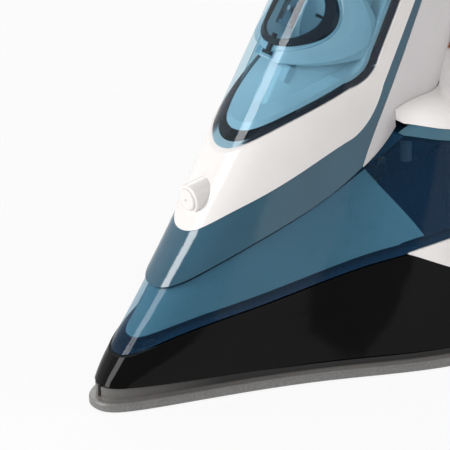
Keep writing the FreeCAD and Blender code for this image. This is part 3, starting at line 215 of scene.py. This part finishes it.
clouds = add_node(tree, "ShaderNodeMapRange", {"From Min": 0.3, "From Max": 0.7, "To Max": 0.25},
                  Value=clouds.outputs[0])
colour = add_node(tree, "ShaderNodeMix", {"data_type": "RGBA", 7: linear("#6b6866")},
                  _0=clouds.outputs[0], _6=colour.outputs[2])
split = add_node(tree, "ShaderNodeSeparateXYZ", Vector=at)
# Painted light: from the top of the rim upwards the enamel is painted lighter, where the lamps fall on the
# ledge.
lit_rim_top = add_node(tree, "ShaderNodeMapRange",
                     {"From Min": rim_top, "From Max": rim_top + rim_blend, "To Max": 0.45},
                     Value=split.outputs["Z"])
colour = add_node(tree, "ShaderNodeMix", {"data_type": "RGBA", 7: linear("#8c8782")},
                  _0=lit_rim_top.outputs[0], _6=colour.outputs[2])
# Painted shade on the upstand under the skirt: lightest at the nose, and darker along its flanks away from
# it.
upstand = add_node(tree, "ShaderNodeMapRange",
                   {"From Min": upstand_foot, "From Max": upstand_foot + upstand_blend},
                   Value=split.outputs["Z"])
shade_along_flank = add_node(tree, "ShaderNodeMapRange",
                    {"From Min": shade_faintest_at, "From Max": shade_deepest_from, "To Min": 0.35, "To Max": 0.97},
                    Value=split.outputs["X"])
painted_shade = add_node(tree, "ShaderNodeMath", {"operation": "MULTIPLY"},
                _0=upstand.outputs[0], _1=shade_along_flank.outputs[0])
# Dark grey of the painted shade on the upstand.
colour = add_node(tree, "ShaderNodeMix", {"data_type": "RGBA", 7: linear("#1b1a1a")},
                  _0=painted_shade.outputs[0], _6=colour.outputs[2])
relief = add_node(tree, "ShaderNodeBump", {"Strength": 0.6, "Distance": 0.00006}, Height=specks.outputs[0])
skin = add_node(tree, "ShaderNodeBsdfPrincipled", {"Metallic": 0.35, "Roughness": 0.42},
                **{"Base Color": colour.outputs[2], "Normal": relief.outputs[0]})
add_node(tree, "ShaderNodeOutputMaterial", Surface=skin.outputs[0])
coat(enamel, "soleplate")


# ---------------------------------------------------------------- element, steam chamber and their screws
# The element is a steel sheath pressed round its coil and annealed brown. The chamber's cover is
# zinc-plated sheet, and the seat of the drip valve is turned brass; all of them show a fine grain.
def worked_metal(name, dark, light, rough, grain_mm):
    """Bare metal between two shades, with a grain of this size."""
    made, tree = new_material(name)
    at = add_node(tree, "ShaderNodeTexCoord").outputs["Object"]
    grain = add_node(tree, "ShaderNodeTexNoise", {"Scale": 1000 / grain_mm, "Detail": 3}, Vector=at)
    streaks = add_node(tree, "ShaderNodeMapRange", {"From Min": 0.3, "From Max": 0.7},
                       Value=grain.outputs[0])
    colour = add_node(tree, "ShaderNodeMix",
                      {"data_type": "RGBA", 6: linear(dark), 7: linear(light)}, _0=streaks.outputs[0])
    wear = add_node(tree, "ShaderNodeMapRange", {"To Min": rough * 0.8, "To Max": rough * 1.2},
                    Value=streaks.outputs[0])
    metal = add_node(tree, "ShaderNodeBsdfPrincipled", {"Metallic": 1.0},
                     **{"Base Color": colour.outputs[2], "Roughness": wear.outputs[0]})
    add_node(tree, "ShaderNodeOutputMaterial", Surface=metal.outputs[0])
    return made


zinc = worked_metal("zinc_plated_steel", "#a9adb2", "#c3c6c9", 0.3, 1.2)
brass = worked_metal("turned_brass", "#b08f4e", "#c9a766", 0.28, 0.8)
coat(worked_metal("annealed_steel_sheath", "#6e655c", "#8d857b", 0.4, 2.0), "heating_element")
coat(zinc, "steam_chamber_cover", "sole_screws", "thermal_fuse")
coat(brass, "drip_valve_seat")


# ---------------------------------------------------------------- skirt
# Black ABS, injection-moulded in a polished steel mould. The colour is in the plastic; the eye sees a
# smooth skin with a very faint orange peel, a few millimetres wide, deep black and with little gleam.
def moulded(name, dark, light, rough, grain=0.0, gleam=0.4):
    """Moulded plastic between two nearly equal colours, with orange peel and a grain of this height."""
    flow_mm, rub_mm, peel_mm, grain_mm = 25, 12, 5, 0.5
    peel = 0.000004
    made, tree = new_material(name)
    at = add_node(tree, "ShaderNodeTexCoord").outputs["Object"]
    flow = add_node(tree, "ShaderNodeTexNoise", {"Scale": 1000 / flow_mm, "Detail": 2}, Vector=at)
    flow = add_node(tree, "ShaderNodeMapRange", {"From Min": 0.3, "From Max": 0.7}, Value=flow.outputs[0])
    colour = add_node(tree, "ShaderNodeMix",
                      {"data_type": "RGBA", 6: linear(dark), 7: linear(light)}, _0=flow.outputs[0])
    waves = add_node(tree, "ShaderNodeTexNoise", {"Scale": 1000 / peel_mm, "Detail": 1}, Vector=at)
    normal = add_node(tree, "ShaderNodeBump", {"Strength": 1.0, "Distance": peel}, Height=waves.outputs[0])
    if grain:
        spark = add_node(tree, "ShaderNodeTexNoise", {"Scale": 1000 / grain_mm, "Detail": 2}, Vector=at)
        normal = add_node(tree, "ShaderNodeBump", {"Strength": 1.0, "Distance": grain},
                          Height=spark.outputs[0], Normal=normal.outputs[0])
    rubs = add_node(tree, "ShaderNodeTexNoise", {"Scale": 1000 / rub_mm, "Detail": 3}, Vector=at)
    wear = add_node(tree, "ShaderNodeMapRange",
                    {"From Min": 0.3, "From Max": 0.75, "To Min": rough * 0.85, "To Max": rough * 1.2},
                    Value=rubs.outputs[0])
    skin = add_node(tree, "ShaderNodeBsdfPrincipled", {"IOR": 1.53, "Specular IOR Level": gleam},
                    **{"Base Color": colour.outputs[2], "Roughness": wear.outputs[0],
                       "Normal": normal.outputs[0]})
    add_node(tree, "ShaderNodeOutputMaterial", Surface=skin.outputs[0])
    return made


coat(moulded("gloss_black_abs", "#050505", "#070708", rough=0.08, gleam=0.12), "skirt")


# ---------------------------------------------------------------- thermostat and dial
# Steatite body, bimetal strip, and an adjusting shaft that ends in a ribbed slate-grey thumb wheel on the
# deck. The wheel carries heat marks printed in white.
ceramic = moulded("steatite_ceramic", "#e0d9c8", "#eae4d6", rough=0.6, grain=0.00002)
coat(ceramic, "thermostat_body", "element_terminals")
coat(worked_metal("rolled_bimetal", "#8f8779", "#a79f8f", 0.32, 1.0), "thermostat_bimetal")
natural = moulded("natural_polypropylene", "#c3c6c8", "#ccd0d1", rough=0.35, grain=0.000008)
coat(natural, "dial_shaft")
coat(moulded("slate_abs_dial", "#50575c", "#596166", rough=0.35, grain=0.00001), "temperature_dial")


def add_piece(name, form, finish, body):
    """Piece made of a bmesh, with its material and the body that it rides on."""
    bmesh.ops.recalc_face_normals(form, faces=form.faces)
    mesh = bpy.data.meshes.new(name)
    form.to_mesh(mesh)
    form.free()
    mesh.materials.append(finish)
    piece = bpy.data.objects.new(name, mesh)
    bpy.context.collection.objects.link(piece)
    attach(piece, body)


# One, two and three dots for the cooler settings, and a long mark for the hottest one.
pad_ink = moulded("white_pad_ink", "#e6e6e4", "#ececea", rough=0.5)
low, high = (Vector(corner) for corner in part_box("temperature_dial"))
dial_middle = (low + high) / 2
dot_radius, ink_height, dot_ring, dot_step = 0.0009, 0.00012, 0.0155, 9
mark_length, mark_width = 0.006, 0.0014
marks = bmesh.new()
for bearing, count in ((-150, 1), (-120, 2), (-90, 3)):
    for number in range(count):
        angle = math.radians(bearing + dot_step * (number - (count - 1) / 2))
        place = (dial_middle.x + dot_ring * math.cos(angle),
                 dial_middle.y + dot_ring * math.sin(angle), high.z)
        bmesh.ops.create_cone(marks, cap_ends=True, segments=20, radius1=dot_radius, radius2=dot_radius,
                              depth=2 * ink_height, matrix=Matrix.Translation(place))
stroke = Matrix.Translation((dial_middle.x + dot_ring, dial_middle.y, high.z))
stroke = stroke @ Matrix.Diagonal((mark_length, mark_width, 2 * ink_height, 1))
bmesh.ops.create_cube(marks, size=1, matrix=stroke)
add_piece("dial_heat_marks", marks, pad_ink, "temperature_dial")


# ---------------------------------------------------------------- tank with its insert and trim
# Styrene-acrylonitrile, tinted navy and polished. A wall lets most light through, and looks dark where it
# is seen edge-on: its cut edges, which run across the iron, show as navy lines. A petrol panel is inside.
def clear_plastic(name, tint, edge, film, film_share, ends_only=True, gloss=0.045):
    """Clear tinted plastic; film is the colour of the light it scatters, gloss its share of mirror.

    Its cut edges are the faces whose normal has no sideways part, or else those that face sideways.
    """
    ridge_half_width, ridge_blend, grazing_power = 0.006, 0.003, 5.0
    made, tree = new_material(name)
    geometry = add_node(tree, "ShaderNodeNewGeometry")
    lean = add_node(tree, "ShaderNodeSeparateXYZ", Vector=geometry.outputs["True Normal"])
    sideways = add_node(tree, "ShaderNodeMath", {"operation": "ABSOLUTE"}, _0=lean.outputs["Y"])
    if ends_only:
        cut = add_node(tree, "ShaderNodeMath", {"operation": "LESS_THAN", 1: 0.02}, _0=sideways.outputs[0])
        # The ridge of the nose faces straight ahead too, so that no cut is painted close to the middle.
        at = add_node(tree, "ShaderNodeSeparateXYZ",
                      Vector=add_node(tree, "ShaderNodeTexCoord").outputs["Object"])
        off_ridge = add_node(tree, "ShaderNodeMath", {"operation": "ABSOLUTE"}, _0=at.outputs["Y"])
        off_ridge = add_node(tree, "ShaderNodeMapRange",
                             {"From Min": ridge_half_width, "From Max": ridge_half_width + ridge_blend,
                              "To Max": 0.95},
                             Value=off_ridge.outputs[0])
        cut = add_node(tree, "ShaderNodeMath", {"operation": "MULTIPLY"},
                       _0=cut.outputs[0], _1=off_ridge.outputs[0])
    else:
        cut = add_node(tree, "ShaderNodeMath", {"operation": "GREATER_THAN", 1: 0.9},
                       _0=sideways.outputs[0])
    front = add_node(tree, "ShaderNodeMath", {"operation": "SUBTRACT", 0: 1.0},
                     _1=geometry.outputs["Backfacing"])
    facing = add_node(tree, "ShaderNodeLayerWeight", {"Blend": 0.5})
    steep = add_node(tree, "ShaderNodeMath", {"operation": "POWER", 1: grazing_power},
                     _0=facing.outputs["Facing"])
    mirror = add_node(tree, "ShaderNodeMapRange", {"To Min": gloss, "To Max": 0.9}, Value=steep.outputs[0])
    mirror = add_node(tree, "ShaderNodeMath", {"operation": "MULTIPLY"},
                      _0=mirror.outputs[0], _1=front.outputs[0])
    clear = add_node(tree, "ShaderNodeBsdfTransparent", {"Color": linear(tint)})
    haze = add_node(tree, "ShaderNodeBsdfDiffuse", {"Color": linear(film)})
    body = add_node(tree, "ShaderNodeMixShader", {"Fac": film_share},
                    _1=clear.outputs[0], _2=haze.outputs[0])
    polish = add_node(tree, "ShaderNodeBsdfGlossy", {"Roughness": 0.05})
    skin = add_node(tree, "ShaderNodeMixShader",
                    Fac=mirror.outputs[0], _1=body.outputs[0], _2=polish.outputs[0])
    rim = add_node(tree, "ShaderNodeBsdfPrincipled",
                   {"Base Color": linear(edge), "Roughness": 0.3, "Specular IOR Level": 0.12})
    skin = add_node(tree, "ShaderNodeMixShader",
                    Fac=cut.outputs[0], _1=skin.outputs[0], _2=rim.outputs[0])
    add_node(tree, "ShaderNodeOutputMaterial", Surface=skin.outputs[0])
    return made


clear_navy = clear_plastic("clear_navy_san", "#d2e2ea", "#0e3048", "#17507a", 0.12, gloss=0.02)
coat(clear_navy, "water_tank")
coat(moulded("satin_petrol_panel", "#aecccc", "#b5d2d2", rough=0.3), "tank_insert")
coat(moulded("gloss_petrol_trim", "#3c5f70", "#426778", rough=0.16), "tank_trim")


# ---------------------------------------------------------------- saddle, rear shell and heel
# White deck over the tank and white shell behind it, both gloss ABS. The heel plate is petrol, held by two
# screws, and stands on four black rubber pads that are pushed into it.
warm_white = moulded("gloss_white_abs", "#dedad8", "#e4e0de", rough=0.13)
petrol = moulded("gloss_petrol_abs", "#274e61", "#2c566a", rough=0.1, gleam=0.6)
rubber = moulded("black_tpe", "#141416", "#1a1a1c", rough=0.5, grain=0.00003)
coat(warm_white, "saddle", "rear_shell")
coat(petrol, "heel_plate")
coat(rubber, "heel_feet")
coat(zinc, "heel_screws")


# ---------------------------------------------------------------- front covers and nozzle
# Petrol cover that wraps the nose over the tank, and a white one on top of it with the spray nozzle pressed
# in. Both are gloss ABS.
coat(petrol, "mid_cover")
coat(warm_white, "front_cover", "spray_nozzle")


# ---------------------------------------------------------------- filler cup and tray
# Pale blue ABS cup that leads the water down to the tank, and a tray around it that closes the space below.
# The tray has a moulded stop under the flap's tongue, and a thin dark blue bar across it that is painted
# shade.
pale_blue = moulded("pale_blue_abs", "#cbdbe1", "#d3e3e8", rough=0.2)
coat(pale_blue, "filler_neck", "filler_tray")

tray_slope, rounding = math.radians(-56), 0.0003
stop_size, stop_from_nose = (0.0058, 0.0030, 0.0028), (0.0782, -0.0050, 0.0968)
bar_size, bar_from_nose = (0.0013, 0.0122, 0.0013), (0.0806, -0.0005, 0.1000)
# The bar's dark blue is painted shade along the lower edge of the flap.
shade_bar_blue = moulded("painted_shade_blue", "#3d6780", "#45708a", rough=0.25)
for name, size, from_nose, finish in (("tray_stop", stop_size, stop_from_nose, pale_blue),
                                      ("painted_shade_bar", bar_size, bar_from_nose, shade_bar_blue)):
    block = bmesh.new()
    bmesh.ops.create_cube(block, size=1, matrix=Matrix.Diagonal((*size, 1)))
    bmesh.ops.bevel(block, geom=block.edges[:], offset=rounding, affect="EDGES", segments=2, profile=0.5,
                    material=-1)
    place = Matrix.Translation(nose_tip + Vector(from_nose)) @ Matrix.Rotation(tray_slope, 4, "Y")
    bmesh.ops.transform(block, verts=block.verts, matrix=place)
    add_piece(name, block, finish, "iron")


# ---------------------------------------------------------------- clear window and filler flap
# The same clear plastic as the tank, in light blue: a window over the tray, and the round flap that turns
# on a steel pin. The flap holds a dark silicone ring with a T-shaped tail, and a spring plate with a rivet.
clear_blue = clear_plastic("clear_blue_san", "#dfedf3", "#050a1e", "#7fb0c8", 0.012, gloss=0.035)
coat(clear_blue, "lid_window", "filler_flap")
coat(zinc, "flap_hinge_pin", "catch_rivet")
coat(moulded("navy_silicone", "#10121f", "#161722", rough=0.45, grain=0.00001, gleam=0.2), "flap_gasket")
clear_spring = clear_plastic("clear_spring_pc", "#cfe0e8", "#0a0f1c", "#8fb4c4", 0.12, ends_only=False)
coat(clear_spring, "flap_catch")


# ---------------------------------------------------------------- pumps and hoses
# Natural polypropylene cylinders, pistons and bracket, spring-steel coils and milky silicone tubes. A
# pressed button shortens its spring from 9 mm to 6 mm, down towards its seat on the pump.
coat(natural, "pump_bracket", "spray_pump", "steam_pump", "spray_plunger", "steam_plunger")
coat(worked_metal("spring_steel_wire", "#9a9ca0", "#b5b7ba", 0.25, 0.6), "spray_spring", "steam_spring")
for kind in ("spray", "steam"):
    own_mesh(nodes[kind + "_spring"])
silicone = moulded("silicone_tube", "#cfccc4", "#dad7d0", rough=0.4)
coat(silicone, "spray_hose", "steam_hose", "suction_hose")


# ---------------------------------------------------------------- handle, panel and controls
# Two satin white ABS halves screwed together from one side, with a gloss white panel on top for the two
# petrol buttons and the slider, whose stem lifts the steel needle of the drip valve.
satin_white = moulded("satin_white_abs", "#cdc9ca", "#d3cfd0", rough=0.2)
coat(satin_white, "handle_left", "handle_right")
coat(warm_white, "control_panel")
coat(petrol, "spray_button", "steam_button", "steam_slider")
coat(zinc, "handle_screws", "valve_rod")


# ---------------------------------------------------------------- soft grip
# Thermoplastic rubber moulded over the handle, with a spark-eroded grain of about 0.5 mm that kills the
# gloss. The same rubber lines the bar from below.
coat(moulded("soft_petrol_tpe", "#2b4655", "#314e5e", rough=0.5, grain=0.00004), "grip_cover", "under_grip")


# ---------------------------------------------------------------- cord inlet
# Fixed socket with a turning ring, and a rubber ball and bush that tilts in the ring. The rubber is black
# and dull, the socket milky.
coat(natural, "cord_socket")
coat(rubber, "swivel_ring", "cord_bush")


# ---------------------------------------------------------------- electrics
# Terminal block with brass screws, silicone-covered wires, and a neon lamp behind an amber lens in the
# deck. The lens is acrylic, and scatters a good part of the light.
coat(natural, "terminal_block")
coat(brass, "terminal_screws")
coat(silicone, "internal_wires")
coat(clear_plastic("amber_acrylic", "#f0a850", "#b06018", "#e08a3c", 0.3), "indicator_lens")
coat(clear_plastic("lamp_glass", "#f6e6dc", "#d8c8c0", "#f0d8c8", 0.1), "indicator_lamp")
